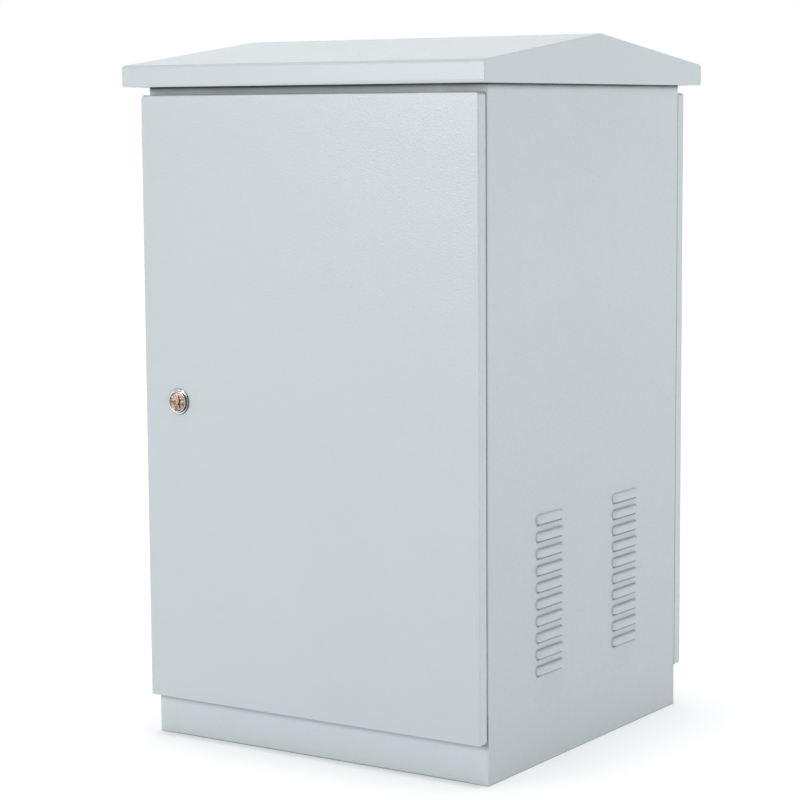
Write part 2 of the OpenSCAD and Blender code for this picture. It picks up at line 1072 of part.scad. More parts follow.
module lock_housing() {
    rim_r = plug_face_r + 2.6;
    seat = lock_proud - plug_depth - seat_clear;
    at_lock()
        rotate_extrude()
            polygon([[plug_r + plug_clear, -barrel_len], [barrel_r - 0.6, -barrel_len],
                [barrel_r, 0.6 - barrel_len], [barrel_r, 0], [lock_flange_r, 0],
                [lock_flange_r, 1.2], [lock_flange_r - 0.8, 2], [rim_r + 0.6, 2.3],
                [rim_r, lock_proud - 0.6], [rim_r - 0.6, lock_proud],
                [plug_face_r + seat_clear, lock_proud], [plug_face_r + seat_clear, seat],
                [plug_r + plug_clear, seat]]);
}

module lock_nut() {
    at_lock()
        difference() {
            hex(nut_af, -sheet - nut_t, -sheet);
            rod(barrel_r, -sheet - nut_t - 1, 0);
        }
}

module lock_plug() {
    face = lock_proud - 0.3;
    at_lock()
        difference() {
            union() {
                rod(plug_face_r, lock_proud - plug_depth, face);
                rod(plug_r, cam_z, lock_proud - plug_depth / 2);
                translate([-stub / 2, -stub / 2, cam_z - cam_t + 0.1])
                    cube([stub, stub, cam_t + 1]);
            }
            translate([key_off - key_w / 2, -key_h / 2, face - 1.5])
                cube([key_w, key_h, 2]);
            translate([key_off - key_w / 2, -plug_r / 2, face - 9])
                cube([key_w, plug_r, 10]);
            rod(screw_r, cam_z - cam_t - 1, cam_z + 7);
        }
}

module lock_cam() {
    at_lock()
        translate([0, 0, cam_z - cam_t])
            linear_extrude(cam_t)
                difference() {
                    union() {
                        circle(cam_w / 2);
                        translate([-cam_w / 2, cam_w / 2 - cam_len])
                            square([cam_w, cam_len - cam_w / 2]);
                        translate([0, cam_w / 2 - cam_len])
                            circle(cam_w / 2);
                    }
                    square(stub + 0.1, center = true);
                }
}

module lock_screw() {
    at_lock() {
        rod(screw_r, cam_z - cam_t - 1, cam_z + 5);
        difference() {
            rod(6.2, cam_z - cam_t - 3, cam_z - cam_t);
            hex(4, cam_z - cam_t - 4, cam_z - cam_t - 1.5);
        }
    }
}

module front_lock_housing() {
    color(chrome)
        lock_housing();
}

module front_lock_nut() {
    color(steel)
        lock_nut();
}

module front_lock_plug() {
    color(bronze)
        lock_plug();
}

module front_lock_cam() {
    color(zinc)
        lock_cam();
}

module front_lock_screw() {
    color(steel)
        lock_screw();
}

module rear_lock_housing() {
    color(chrome)
        turned()
            lock_housing();
}

module rear_lock_nut() {
    color(steel)
        turned()
            lock_nut();
}

module rear_lock_plug() {
    color(bronze)
        turned()
            lock_plug();
}

module rear_lock_cam() {
    color(zinc)
        turned()
            lock_cam();
}

module rear_lock_screw() {
    color(steel)
        turned()
            lock_screw();
}

// ---------- nodes ----------

side_panel_left();
side_panel_right();
front_top_rail();
rear_top_rail();
front_plinth();
rear_plinth();
top_plate();
base_plate();
gland_plate();
gland_plate_screws();
cable_grommets();
roof_cap();
roof_brace_left();
roof_brace_right();
roof_spacers();
roof_bolts();
roof_nuts();
filter_holder_left();
filter_holder_right();
filter_mat_left();
filter_mat_right();
side_rails_left();
side_rails_right();
rack_post_front_left();
rack_post_front_right();
rack_post_rear_left();
rack_post_rear_right();
post_bolts();
post_nuts();
shelf();
shelf_screws();
cage_nuts();
earth_stud();
front_hinge_fixed_upper();
front_hinge_fixed_lower();
front_hinge_pins();
front_door_pan();
front_door_gasket();
front_door_stiffeners();
front_hinge_door_upper();
front_hinge_door_lower();
front_lock_housing();
front_lock_nut();
front_lock_plug();
front_lock_cam();
front_lock_screw();
rear_hinge_fixed_upper();
rear_hinge_fixed_lower();
rear_hinge_pins();
rear_door_pan();
rear_door_gasket();
rear_door_stiffeners();
rear_hinge_door_upper();
rear_hinge_door_lower();
rear_lock_housing();
rear_lock_nut();
rear_lock_plug();
rear_lock_cam();
rear_lock_screw();
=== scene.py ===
import math

import bmesh
import bpy
from mathutils import Matrix, Vector
from mathutils import noise as wander


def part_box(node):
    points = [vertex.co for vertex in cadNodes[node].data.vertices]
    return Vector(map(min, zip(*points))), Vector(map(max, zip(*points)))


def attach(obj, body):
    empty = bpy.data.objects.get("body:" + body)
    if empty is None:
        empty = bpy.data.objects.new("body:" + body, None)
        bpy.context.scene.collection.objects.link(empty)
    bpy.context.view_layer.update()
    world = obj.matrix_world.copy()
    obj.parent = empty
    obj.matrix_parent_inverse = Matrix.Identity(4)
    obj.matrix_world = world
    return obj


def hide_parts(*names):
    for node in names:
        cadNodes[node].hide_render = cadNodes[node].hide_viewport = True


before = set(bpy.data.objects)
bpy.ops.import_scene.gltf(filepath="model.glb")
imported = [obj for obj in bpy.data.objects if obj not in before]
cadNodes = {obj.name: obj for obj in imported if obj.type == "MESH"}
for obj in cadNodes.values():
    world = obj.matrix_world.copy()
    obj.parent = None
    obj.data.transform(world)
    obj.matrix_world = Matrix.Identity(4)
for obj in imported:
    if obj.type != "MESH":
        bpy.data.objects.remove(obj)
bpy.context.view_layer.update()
scene = bpy.context.scene
mm = 0.001
print("frame loaded:", len(cadNodes), "nodes")


# node trees

def put(tree, kind, inputs=None, **settings):
    node = tree.nodes.new(kind)
    for key, value in settings.items():
        setattr(node, key, value)
    for key, value in (inputs or {}).items():
        if isinstance(value, bpy.types.NodeSocket):
            tree.links.new(value, node.inputs[key])
        else:
            node.inputs[key].default_value = value
    return node


def maths(tree, operation, a, b=0.0):
    return put(tree, "ShaderNodeMath", {0: a, 1: b}, operation=operation).outputs[0]


def minus(tree, a, b):
    return maths(tree, "SUBTRACT", a, b)


def times(tree, a, b):
    return maths(tree, "MULTIPLY", a, b)


def axesOf(tree, vector):
    return put(tree, "ShaderNodeSeparateXYZ", {0: vector}).outputs


def facingOf(tree):
    # which way a face looks, along the cabinet's own axes
    return axesOf(tree, tree.nodes.new("ShaderNodeTexCoord").outputs["Normal"])


def ramp(tree, value, low, high, start=0.0, end=1.0):
    return put(tree, "ShaderNodeMapRange", {"Value": value, "From Min": low, "From Max": high,
                                            "To Min": start, "To Max": end}, clamp=True).outputs[0]


def blendColours(tree, factor, a, b):
    node = put(tree, "ShaderNodeMix", data_type="RGBA", blend_type="MIX")
    for socket, value in ((node.inputs[0], factor), (node.inputs[6], a), (node.inputs[7], b)):
        if isinstance(value, bpy.types.NodeSocket):
            tree.links.new(value, socket)
        else:
            socket.default_value = value
    return node.outputs[2]


def noise(tree, where, scale, detail=2.0, rough=0.5):
    return put(tree, "ShaderNodeTexNoise", {"Vector": where, "Scale": scale, "Detail": detail,
                                            "Roughness": rough}).outputs[0]


def newGroup(name, inputs, outputs):
    group = bpy.data.node_groups.new(name, "ShaderNodeTree")
    for label, value in inputs.items():
        socket = group.interface.new_socket(label, in_out="INPUT", socket_type="NodeSocketFloat")
        socket.default_value = value
    for label in outputs:
        kind = "NodeSocketVector" if label == "Normal" else "NodeSocketFloat"
        group.interface.new_socket(label, in_out="OUTPUT", socket_type=kind)
    source = group.nodes.new("NodeGroupInput").outputs
    sink = group.nodes.new("NodeGroupOutput").inputs
    where = group.nodes.new("ShaderNodeTexCoord").outputs["Object"]
    return group, source, sink, where


def makeOrangePeel():
    # the rippled skin of a baked powder coat: soft ripples with a finer grain on top
    group, source, sink, where = newGroup("orangePeel", {"Ripples": 300.0, "Grain": 0.35},
                                          ("Height", "Fleck"))
    broad = noise(group, where, source["Ripples"], 1.0)
    fine = noise(group, where, times(group, source["Ripples"], 2.7), 1.5)
    height = maths(group, "ADD", broad, times(group, fine, source["Grain"]))
    group.links.new(height, sink["Height"])
    group.links.new(ramp(group, fine, 0.38, 0.66), sink["Fleck"])
    return group


def makeEdgeWearAndHighlight():
    # rounds the shading of a hard edge and says where that edge is
    group, source, sink, where = newGroup("edgeWearAndHighlight", {"Radius": 0.0008, "Breakup": 90.0}, ("Normal", "Edge"))
    soft = put(group, "ShaderNodeBevel", {"Radius": source["Radius"]}, samples=4).outputs[0]
    flat = group.nodes.new("ShaderNodeNewGeometry").outputs["Normal"]
    apart = put(group, "ShaderNodeVectorMath", {0: soft, 1: flat}, operation="DISTANCE").outputs["Value"]
    patchy = ramp(group, noise(group, where, source["Breakup"], 3.0), 0.35, 0.7)
    group.links.new(soft, sink["Normal"])
    group.links.new(times(group, ramp(group, apart, 0.15, 0.8), patchy), sink["Edge"])
    return group


def makeTone():
    # slow drift of colour over a surface, with a little dust that gathers low down
    group, source, sink, where = newGroup("slowTone", {"Size": 2.2, "Dust Height": 0.12, "Speckle": 1.0},
                                          ("Drift", "Dust"))
    drift = noise(group, where, source["Size"], 3.0, 0.55)
    height = axesOf(group, where)["Z"]
    low = minus(group, 1.0, ramp(group, height, 0.0, source["Dust Height"]))
    specks = ramp(group, noise(group, where, 60.0, 5.0, 0.65), 0.42, 0.75)
    group.links.new(ramp(group, drift, 0.3, 0.7), sink["Drift"])
    bare = minus(group, 1.0, specks)
    patchy = minus(group, 1.0, times(group, source["Speckle"], bare))
    group.links.new(times(group, low, patchy), sink["Dust"])
    return group


def makeRolledGrain():
    # faint drawn lines of cold rolled or turned metal, and the flowers of a zinc coat
    group, source, sink, where = newGroup("rolledGrain", {"Lines": 900.0, "Flower Size": 90.0},
                                          ("Lines", "Flowers"))
    stretched = put(group, "ShaderNodeMapping", {"Vector": where, "Scale": (1.0, 1.0, 0.04)}).outputs[0]
    flowers = put(group, "ShaderNodeTexVoronoi", {"Vector": where, "Scale": source["Flower Size"]},
                  feature="F1").outputs["Color"]
    grey = put(group, "ShaderNodeRGBToBW", {0: flowers}).outputs[0]
    group.links.new(noise(group, stretched, source["Lines"], 2.0), sink["Lines"])
    group.links.new(grey, sink["Flowers"])
    return group


def makePaintedCreaseShade():
    # painted shade: darker in folds and along the lines where two pieces meet
    group, source, sink, _ = newGroup("paintedCreaseShade", {"Reach": 0.012}, ("Shade",))
    clear = put(group, "ShaderNodeAmbientOcclusion", {"Distance": source["Reach"]}, samples=4).outputs["AO"]
    group.links.new(ramp(group, clear, 0.84, 0.3), sink["Shade"])
    return group


def makeEaveShade():
    # painted shade close under the eaves, darkening the tops of the walls
    group, source, sink, where = newGroup("eaveShade", {"Start": 0.9, "Full": 1.0}, ("Shade",))
    height = axesOf(group, where)["Z"]
    uneven = times(group, minus(group, noise(group, where, 14.0, 3.0), 0.5), 0.0016)
    near = ramp(group, maths(group, "ADD", height, uneven), source["Start"], source["Full"])
    group.links.new(maths(group, "POWER", near, 4.5), sink["Shade"])
    return group


def makePaintedWallLight():
    # painted shade on the sides, darker towards the ground; painted light on the plinth fronts; and a painted
    # shadow line under the doors
    group, source, sink, where = newGroup(
        "paintedWallLight", {"Side Top": 0.7, "Front Top": 0.16, "Front Full": 0.1, "Door Foot": 0.063,
                     "Line Full": 0.004, "Line Fade": 0.013}, ("Side", "Front", "Line"))
    facing, height = facingOf(group), axesOf(group, where)["Z"]
    low = ramp(group, height, source["Side Top"], 0.0)
    front = ramp(group, maths(group, "ABSOLUTE", facing["Y"]), 0.5, 0.8)
    foot = ramp(group, height, minus(group, source["Door Foot"], source["Line Fade"]),
                minus(group, source["Door Foot"], source["Line Full"]))
    line = times(group, foot, ramp(group, height, 0.12, 0.09))  # stops behind the door
    group.links.new(times(group, low, maths(group, "ABSOLUTE", facing["X"])), sink["Side"])
    group.links.new(times(group, ramp(group, height, source["Front Top"], source["Front Full"]), front),
                    sink["Front"])
    group.links.new(times(group, line, front), sink["Line"])
    return group


def makeLouvreShadeAndLight():
    # a painted shadow line under the lip of every louvre, and painted light where the hoods curve out of the
    # sheet
    group, source, sink, where = newGroup(
        "louvreShadeAndLight", {"Lowest": 0.1355, "Pitch": 0.025, "Rows": 10.0, "Centre": 0.1165, "Half Length": 0.0375,
                    "Sheet Face": 0.3, "Line From": 0.8, "Line Full": 0.9}, ("Line", "Hood"))
    place = axesOf(group, where)
    row = maths(group, "DIVIDE", minus(group, place["Z"], source["Lowest"]), source["Pitch"])
    part = maths(group, "FRACT", maths(group, "ADD", row, 20.0))  # the added rows keep it above zero
    last = minus(group, source["Rows"], 1.0)
    below = times(group, ramp(group, part, source["Line From"], source["Line Full"]),
                  maths(group, "GREATER_THAN", row, -0.3))
    below = times(group, below, maths(group, "LESS_THAN", row, last))
    across = minus(group, maths(group, "ABSOLUTE", place["Y"]), source["Centre"])
    inside = maths(group, "LESS_THAN", maths(group, "ABSOLUTE", across), source["Half Length"])
    proud = minus(group, maths(group, "ABSOLUTE", place["X"]), source["Sheet Face"])
    tilt = ramp(group, maths(group, "ABSOLUTE", facingOf(group)["X"]), 0.97, 0.75)
    group.links.new(times(group, below, inside), sink["Line"])
    group.links.new(times(group, ramp(group, proud, 0.0002, 0.001), tilt), sink["Hood"])
    return group


def makePaintedSideShade():
    # painted shade: walls of turned parts that face sideways or down are darkened
    group, source, sink, where = newGroup("paintedSideShade", {"Start": 0.45, "Full": 0.95}, ("Shade",))
    facing = facingOf(group)
    slanted = minus(group, maths(group, "ABSOLUTE", facing["X"]), times(group, facing["Z"], 0.55))
    patchy = maths(group, "ADD", slanted, times(group, noise(group, where, 400.0), 0.2))
    group.links.new(ramp(group, patchy, source["Start"], source["Full"]), sink["Shade"])
    return group


orangePeel = makeOrangePeel()
eaveShade = makeEaveShade()
paintedSideShade = makePaintedSideShade()
paintedWallLight = makePaintedWallLight()
louvreShadeAndLight = makeLouvreShadeAndLight()
edgeWearAndHighlight = makeEdgeWearAndHighlight()
slowTone = makeTone()
rolledGrain = makeRolledGrain()
paintedCreaseShade = makePaintedCreaseShade()
print("shader groups made")


# finishes

def startMaterial(name, settings):
    material = bpy.data.materials.new(name)
    material.use_nodes = True
    tree = material.node_tree
    shader = tree.nodes["Principled BSDF"]
    for key in ("Metallic", "Roughness", "Specular IOR Level"):
        if key in settings:
            shader.inputs[key].default_value = settings[key]
    return material, tree, shader


def use(tree, group, values):
    return put(tree, "ShaderNodeGroup", values, node_tree=group).outputs


def colour(values):
    return (*values, 1.0)


def bump(tree, height, depth, normal=None):
    inputs = {"Height": height, "Strength": 1.0, "Distance": depth}
    if normal is not None:
        inputs["Normal"] = normal
    return put(tree, "ShaderNodeBump", inputs).outputs[0]


def powderCoat(name, settings):
    material, tree, shader = startMaterial(name, settings)
    peel = use(tree, orangePeel, {"Ripples": settings["ripples"], "Grain": settings["grain"]})
    tone = use(tree, slowTone, {"Size": 2.2, "Dust Height": settings["dustHeight"],
                                 "Speckle": settings["speckle"]})
    edge = use(tree, edgeWearAndHighlight, {"Radius": settings["edgeRadius"], "Breakup": 70.0})
    creaseShadeMask = use(tree, paintedCreaseShade, {"Reach": settings["paintedShadeReach"]})
    base = blendColours(tree, tone["Drift"], colour(settings["light"]), colour(settings["shade"]))
    bright = colour(settings["bright"])
    flecked = blendColours(tree, times(tree, peel["Fleck"], settings["fleck"]), base, bright)
    dusty = blendColours(tree, times(tree, tone["Dust"], settings["dust"]), flecked,
                         colour(settings["dustColour"]))
    # the edges are blended towards the lighter colour: partly wear, partly a painted highlight along the
    # edges
    wornAndPaintedLight = blendColours(tree, times(tree, edge["Edge"], settings["wearAndEdgeHighlight"]), dusty, bright)
    # painted shade in folds, creases and joins, blended towards a near-black colour
    dark = times(tree, creaseShadeMask["Shade"], settings["paintedCreaseShade"])
    if settings["eaves"]:
        # painted shade under the eaves, set by height
        eave = use(tree, eaveShade, settings["eaves"])
        # painted shade low on the sides, painted light on the plinth fronts and a painted shadow line under
        # the doors
        wall = use(tree, paintedWallLight, {"Side Top": settings["sideTop"]})
        # painted shadow under the louvre lips; painted light on the hoods, which also clears the crease shade
        # from them
        lip = use(tree, louvreShadeAndLight, settings["louvres"])
        dark = maths(tree, "MAXIMUM", maths(tree, "MAXIMUM", dark, eave["Shade"]),
                     times(tree, wall["Line"], settings["doorShadowLine"]))
        dark = times(tree, dark, minus(tree, 1.0, lip["Hood"]))
        dark = maths(tree, "MAXIMUM", dark, times(tree, lip["Line"], settings["lipShadow"]))
        wornAndPaintedLight = blendColours(tree, times(tree, lip["Hood"], settings["hoodLight"]), wornAndPaintedLight, bright)
        sided = blendColours(tree, times(tree, wall["Side"], settings["sideShade"]), wornAndPaintedLight,
                             colour(settings["sideShadeColour"]))
        wornAndPaintedLight = blendColours(tree, wall["Front"], sided, colour(settings["frontLightColour"]))
    tree.links.new(blendColours(tree, dark, wornAndPaintedLight, colour(settings["paintedShadeColour"])),
                   shader.inputs["Base Color"])
    gloss = ramp(tree, peel["Fleck"], 0.0, 1.0, settings["gloss"],
                 settings["gloss"] + settings["glossSpread"])
    gloss = maths(tree, "ADD", gloss, times(tree, tone["Dust"], 0.3))  # dust is rougher than paint
    tree.links.new(gloss, shader.inputs["Roughness"])
    wave = noise(tree, put(tree, "ShaderNodeTexCoord").outputs["Object"], 3.5, 1.0)
    broad = bump(tree, wave, settings["waviness"], edge["Normal"])
    tree.links.new(bump(tree, peel["Height"], settings["peelDepth"], broad), shader.inputs["Normal"])
    return material


paintLook = {
    "light": (0.560, 0.620, 0.636),
    "shade": (0.537, 0.598, 0.612),
    "bright": (0.66, 0.71, 0.715),
    "dustColour": (0.42, 0.40, 0.36),
    "eaves": None,
    "paintedShadeColour": (0.03, 0.033, 0.033),
    "paintedCreaseShade": 0.9,
    "paintedShadeReach": 0.0055,
    "ripples": 330.0,  # ripples to the metre
    "grain": 0.4,
    "fleck": 0.14,
    "wearAndEdgeHighlight": 0.5,
    "gloss": 0.27,
    "glossSpread": 0.10,
    "peelDepth": 0.0003,
    "waviness": 0.0006,
    "edgeRadius": 0.0009,
    "dust": 0.04,
    "dustHeight": 0.10,
    "speckle": 1.0,
    "Specular IOR Level": 0.5,
}

wallsLook = {
    **paintLook,
    "paintedShadeReach": 0.0028,
    "eaves": {"Start": 0.981, "Full": 0.9964},
    "sideTop": 0.7,  # height where the sides begin to darken
    "sideShade": 0.42,
    "sideShadeColour": (0.42, 0.475, 0.475),
    "frontLightColour": (0.595, 0.658, 0.672),
    "doorShadowLine": 0.55,
    "louvres": {"Lowest": 0.1355, "Pitch": 0.025, "Rows": 10.0, "Centre": 0.1165, "Half Length": 0.0375,
                "Sheet Face": 0.3},
    "lipShadow": 0.8,
    "hoodLight": 0.8,
}

paint = powderCoat("powderCoat", paintLook)
paintWalls = powderCoat("powderCoatWalls", wallsLook)
paintInside = powderCoat("powderCoatInside", {**paintLook, "gloss": 0.42, "dust": 0.2, "wearAndEdgeHighlight": 0.2,
                                              "paintedCreaseShade": 0.35})


def sheetMetal(name, settings):
    material, tree, shader = startMaterial(name, settings)
    grain = use(tree, rolledGrain, {"Lines": settings["lines"], "Flower Size": settings["flowers"]})
    edge = use(tree, edgeWearAndHighlight, {"Radius": settings["edgeRadius"], "Breakup": 120.0})
    creaseShadeMask = use(tree, paintedCreaseShade, {"Reach": settings["paintedShadeReach"]})
    mixed = maths(tree, "ADD", times(tree, grain["Flowers"], settings["flowerShare"]),
                  times(tree, grain["Lines"], 1.0 - settings["flowerShare"]))
    base = blendColours(tree, ramp(tree, mixed, 0.25, 0.75), colour(settings["dark"]),
                        colour(settings["light"]))
    # the edges are blended towards the lighter colour: partly wear, partly a painted highlight
    wornAndPaintedLight = blendColours(tree, times(tree, edge["Edge"], 0.5), base, colour(settings["bright"]))
    # painted shade in folds and grooves, blended towards a near-black colour
    metalPaintedShade = times(tree, creaseShadeMask["Shade"], settings["paintedCreaseShade"])
    if settings["paintedSideShade"]:
        # painted shade on faces that look sideways or down
        side = use(tree, paintedSideShade, {"Start": 0.3, "Full": 0.75})
        metalPaintedShade = maths(tree, "MAXIMUM", metalPaintedShade, times(tree, side["Shade"], settings["paintedSideShade"]))
    tree.links.new(blendColours(tree, metalPaintedShade, wornAndPaintedLight, colour(settings["paintedShadeColour"])),
                   shader.inputs["Base Color"])
    tree.links.new(ramp(tree, mixed, 0.2, 0.8, settings["smooth"], settings["rough"]),
                   shader.inputs["Roughness"])
    broad = bump(tree, grain["Flowers"], settings["dimpleDepth"], edge["Normal"])
    tree.links.new(bump(tree, grain["Lines"], settings["lineDepth"], broad), shader.inputs["Normal"])
    return material


metalLook = {"Metallic": 1.0, "paintedShadeReach": 0.006, "paintedShadeColour": (0.03, 0.03, 0.03), "paintedCreaseShade": 0.6,
             "paintedSideShade": 0.0, "dimpleDepth": 0.0}
zincSheet = sheetMetal("zincSheet", {
    **metalLook, "dark": (0.47, 0.49, 0.51), "light": (0.62, 0.64, 0.66), "bright": (0.75, 0.76, 0.77),
    "lines": 500.0, "flowers": 95.0, "flowerShare": 0.75, "smooth": 0.32, "rough": 0.55,
    "lineDepth": 0.00002, "edgeRadius": 0.0006})
platedSteel = sheetMetal("platedSteel", {
    **metalLook, "dark": (0.40, 0.41, 0.42), "light": (0.55, 0.56, 0.57), "bright": (0.72, 0.73, 0.74),
    "lines": 1400.0, "flowers": 260.0, "flowerShare": 0.35, "smooth": 0.24, "rough": 0.42,
    "lineDepth": 0.00002, "edgeRadius": 0.0003})
chromed = sheetMetal("chromedZinc", {
    **metalLook, "dark": (0.66, 0.67, 0.68), "light": (0.78, 0.79, 0.80), "bright": (0.85, 0.86, 0.87),
    "lines": 1800.0, "flowers": 400.0, "flowerShare": 0.4, "smooth": 0.07, "rough": 0.16,
    "lineDepth": 0.000008, "edgeRadius": 0.0003, "paintedSideShade": 0.92, "paintedCreaseShade": 0.95, "paintedShadeReach": 0.0035})
copperyFace = sheetMetal("turnedBrass", {
    **metalLook, "dark": (0.19, 0.13, 0.09), "light": (0.60, 0.45, 0.35), "bright": (0.72, 0.58, 0.50),
    "lines": 1500.0, "flowers": 360.0, "flowerShare": 0.7, "smooth": 0.18, "rough": 0.40,
    "lineDepth": 0.00004, "edgeRadius": 0.0002, "dimpleDepth": 0.0003, "paintedShadeReach": 0.003})


def softMatter(name, settings):
    # rubber, foam and fibre: a dark mass with a pitted or hairy skin
    material, tree, shader = startMaterial(name, settings)
    where = put(tree, "ShaderNodeTexCoord").outputs["Object"]
    pores = put(tree, "ShaderNodeTexVoronoi", {"Vector": where, "Scale": settings["pores"]})
    hairs = noise(tree, where, settings["hairs"], 4.0, 0.7)
    mixed = maths(tree, "ADD", times(tree, pores.outputs["Distance"], 0.5), times(tree, hairs, 0.5))
    tree.links.new(blendColours(tree, ramp(tree, mixed, 0.2, 0.6), colour(settings["dark"]),
                                colour(settings["light"])), shader.inputs["Base Color"])
    tree.links.new(ramp(tree, hairs, 0.3, 0.7, settings["rough"] - 0.12, settings["rough"]),
                   shader.inputs["Roughness"])
    tree.links.new(bump(tree, mixed, settings["depth"]), shader.inputs["Normal"])
    return material


sealFoam = softMatter("sealFoam", {
    "dark": (0.012, 0.012, 0.013), "light": (0.035, 0.035, 0.037), "pores": 1500.0, "hairs": 700.0,
    "rough": 0.85, "depth": 0.0002})
blackRubber = softMatter("blackRubber", {
    "dark": (0.010, 0.010, 0.011), "light": (0.026, 0.026, 0.027), "pores": 900.0, "hairs": 350.0,
    "rough": 0.62, "depth": 0.00005})
filterFibre = softMatter("filterFibre", {
    "dark": (0.05, 0.055, 0.06), "light": (0.20, 0.21, 0.22), "pores": 420.0, "hairs": 900.0,
    "rough": 0.95, "depth": 0.0012})
print("finishes made")


# mesh helpers

def makeObject(name, points, faces, material):
    mesh = bpy.data.meshes.new(name)
    mesh.from_pydata(points, [], faces)
    mesh.validate()
    mesh.update()
    thing = bpy.data.objects.new(name, mesh)
    scene.collection.objects.link(thing)
    mesh.materials.append(material)
    return thing


def tidyMesh(thing, weld=1e-6):
    work = bmesh.new()
    work.from_mesh(thing.data)
    bmesh.ops.remove_doubles(work, verts=work.verts, dist=weld)
    bmesh.ops.recalc_face_normals(work, faces=work.faces)
    work.to_mesh(thing.data)
    work.free()


def bakeModifiers(thing):
    scene.collection.update_tag()
    bpy.context.view_layer.update()
    shaped = thing.evaluated_get(bpy.context.evaluated_depsgraph_get())
    mesh = bpy.data.meshes.new_from_object(shaped)
    thing.modifiers.clear()
    thing.data = mesh


def smoothByAngle(thing, degrees=32.0):
    for polygon in thing.data.polygons:
        polygon.use_smooth = True
    thing.data.set_sharp_from_angle(angle=math.radians(degrees))


def thicken(thing, thickness):
    wall = thing.modifiers.new("wall", "SOLIDIFY")
    wall.thickness = thickness
    wall.offset = 0.0
    wall.use_even_offset = True
    bakeModifiers(thing)


def evenNormals(thing):
    weighted = thing.modifiers.new("evenNormals", "WEIGHTED_NORMAL")
    weighted.keep_sharp = True
    bakeModifiers(thing)


def cutAway(thing, cutter):
    cut = thing.modifiers.new("cut", "BOOLEAN")
    cut.operation = "DIFFERENCE"
    cut.solver = "EXACT"
    cut.object = cutter
    bakeModifiers(thing)
    bpy.data.objects.remove(cutter)


def foldedLine(corners, radius, steps=6):
    # a line through the corners with an arc of the given radius at each inner one
    points = [Vector(corners[0])]
    for before, corner, after in zip(corners, corners[1:], corners[2:]):
        corner = Vector(corner)
        inward = (corner - Vector(before)).normalized()
        onward = (Vector(after) - corner).normalized()
        turn = inward.angle(onward)
        cut = radius * math.tan(turn / 2)
        centre = corner - inward * cut + (onward - inward * inward.dot(onward)).normalized() * radius
        start, side = corner - inward * cut - centre, inward
        for step in range(steps + 1):
            angle = turn * step / steps
            points.append(centre + start * math.cos(angle) + side * radius * math.sin(angle))
    points.append(Vector(corners[-1]))
    return points


def plainBox(name, low, high, material):
    work = bmesh.new()
    bmesh.ops.create_cube(work, size=1.0)
    size = Vector(high) - Vector(low)
    centre = (Vector(high) + Vector(low)) / 2
    place = Matrix.Translation(centre) @ Matrix.Diagonal((*size, 1.0))
    bmesh.ops.transform(work, matrix=place, verts=work.verts)
    mesh = bpy.data.meshes.new(name)
    work.to_mesh(mesh)
    work.free()
    thing = bpy.data.objects.new(name, mesh)
    scene.collection.objects.link(thing)
    mesh.materials.append(material)
    return thing


def prismFaces(count):
    # the walls and two ends of a prism whose outline has this many points
    walls = [(i, (i + 1) % count, count + (i + 1) % count, count + i) for i in range(count)]
    return walls + [tuple(range(count)), tuple(range(2 * count - 1, count - 1, -1))]


def turnedHalf(thing):
    # the rear door and left side repeat the front and right, half a turn round the cabinet
    thing.data.transform(Matrix.Rotation(math.pi, 4, "Z"))
    thing.data.update()


def copyOf(thing, name):
    twin = thing.copy()
    twin.data = thing.data.copy()
    twin.name = name
    scene.collection.objects.link(twin)
    return twin


def settle(thing, body, node):
    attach(thing, body)
    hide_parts(*(node if isinstance(node, tuple) else (node,)))


def roundedRing(low, high, inset, radii, steps=6):
    # a rounded rectangle in the door's plane: points as (x, z), starting at the upper right corner
    ring = []
    corners = ((1, 1, radii[0]), (-1, 1, radii[0]), (-1, -1, radii[1]), (1, -1, radii[1]))
    for k, (sx, sz, full) in enumerate(corners):
        radius = max(full - inset, 0.05 * mm)
        cx = (high.x - inset - radius) if sx > 0 else (low.x + inset + radius)
        cz = (high.z - inset - radius) if sz > 0 else (low.z + inset + radius)
        for step in range(steps + 1):
            angle = math.pi / 2 * (k + step / steps)
            ring.append((cx + radius * math.cos(angle), cz + radius * math.sin(angle)))
    return ring


def sweptRing(name, low, high, section, radii, material, closed=True, steps=6):
    # sweeps a section of (inset, y) pairs round a rounded rectangle
    rings = [roundedRing(low, high, inset, radii, steps) for inset, _ in section]
    count = len(rings[0])
    points = [(x, y, z) for ring, (_, y) in zip(rings, section) for x, z in ring]
    faces = []
    total = len(section)
    for j in range(total if closed else total - 1):
        for i in range(count):
            a, b = j * count + i, j * count + (i + 1) % count
            c, d = ((j + 1) % total) * count + (i + 1) % count, ((j + 1) % total) * count + i
            faces.append((a, b, c, d))
    if not closed:
        faces += [tuple(range(count)), tuple(range(total * count - 1, (total - 1) * count - 1, -1))]
    return makeObject(name, points, faces, material)


def turned(name, profile, place, material, steps=96):
    # a lathe shape from (radius, height) pairs, its axis pointing out of the front door
    points, faces = [], []
    for radius, height in profile:
        for step in range(steps):
            angle = 2 * math.pi * step / steps
            points.append((place[0] + radius * math.cos(angle), place[1] - height,
                           place[2] + radius * math.sin(angle)))
    total = len(profile)
    for j in range(total):
        for i in range(steps):
            faces.append((j * steps + i, j * steps + (i + 1) % steps,
                          ((j + 1) % total) * steps + (i + 1) % steps, ((j + 1) % total) * steps + i))
    thing = makeObject(name, points, faces, material)
    tidyMesh(thing)
    return thing


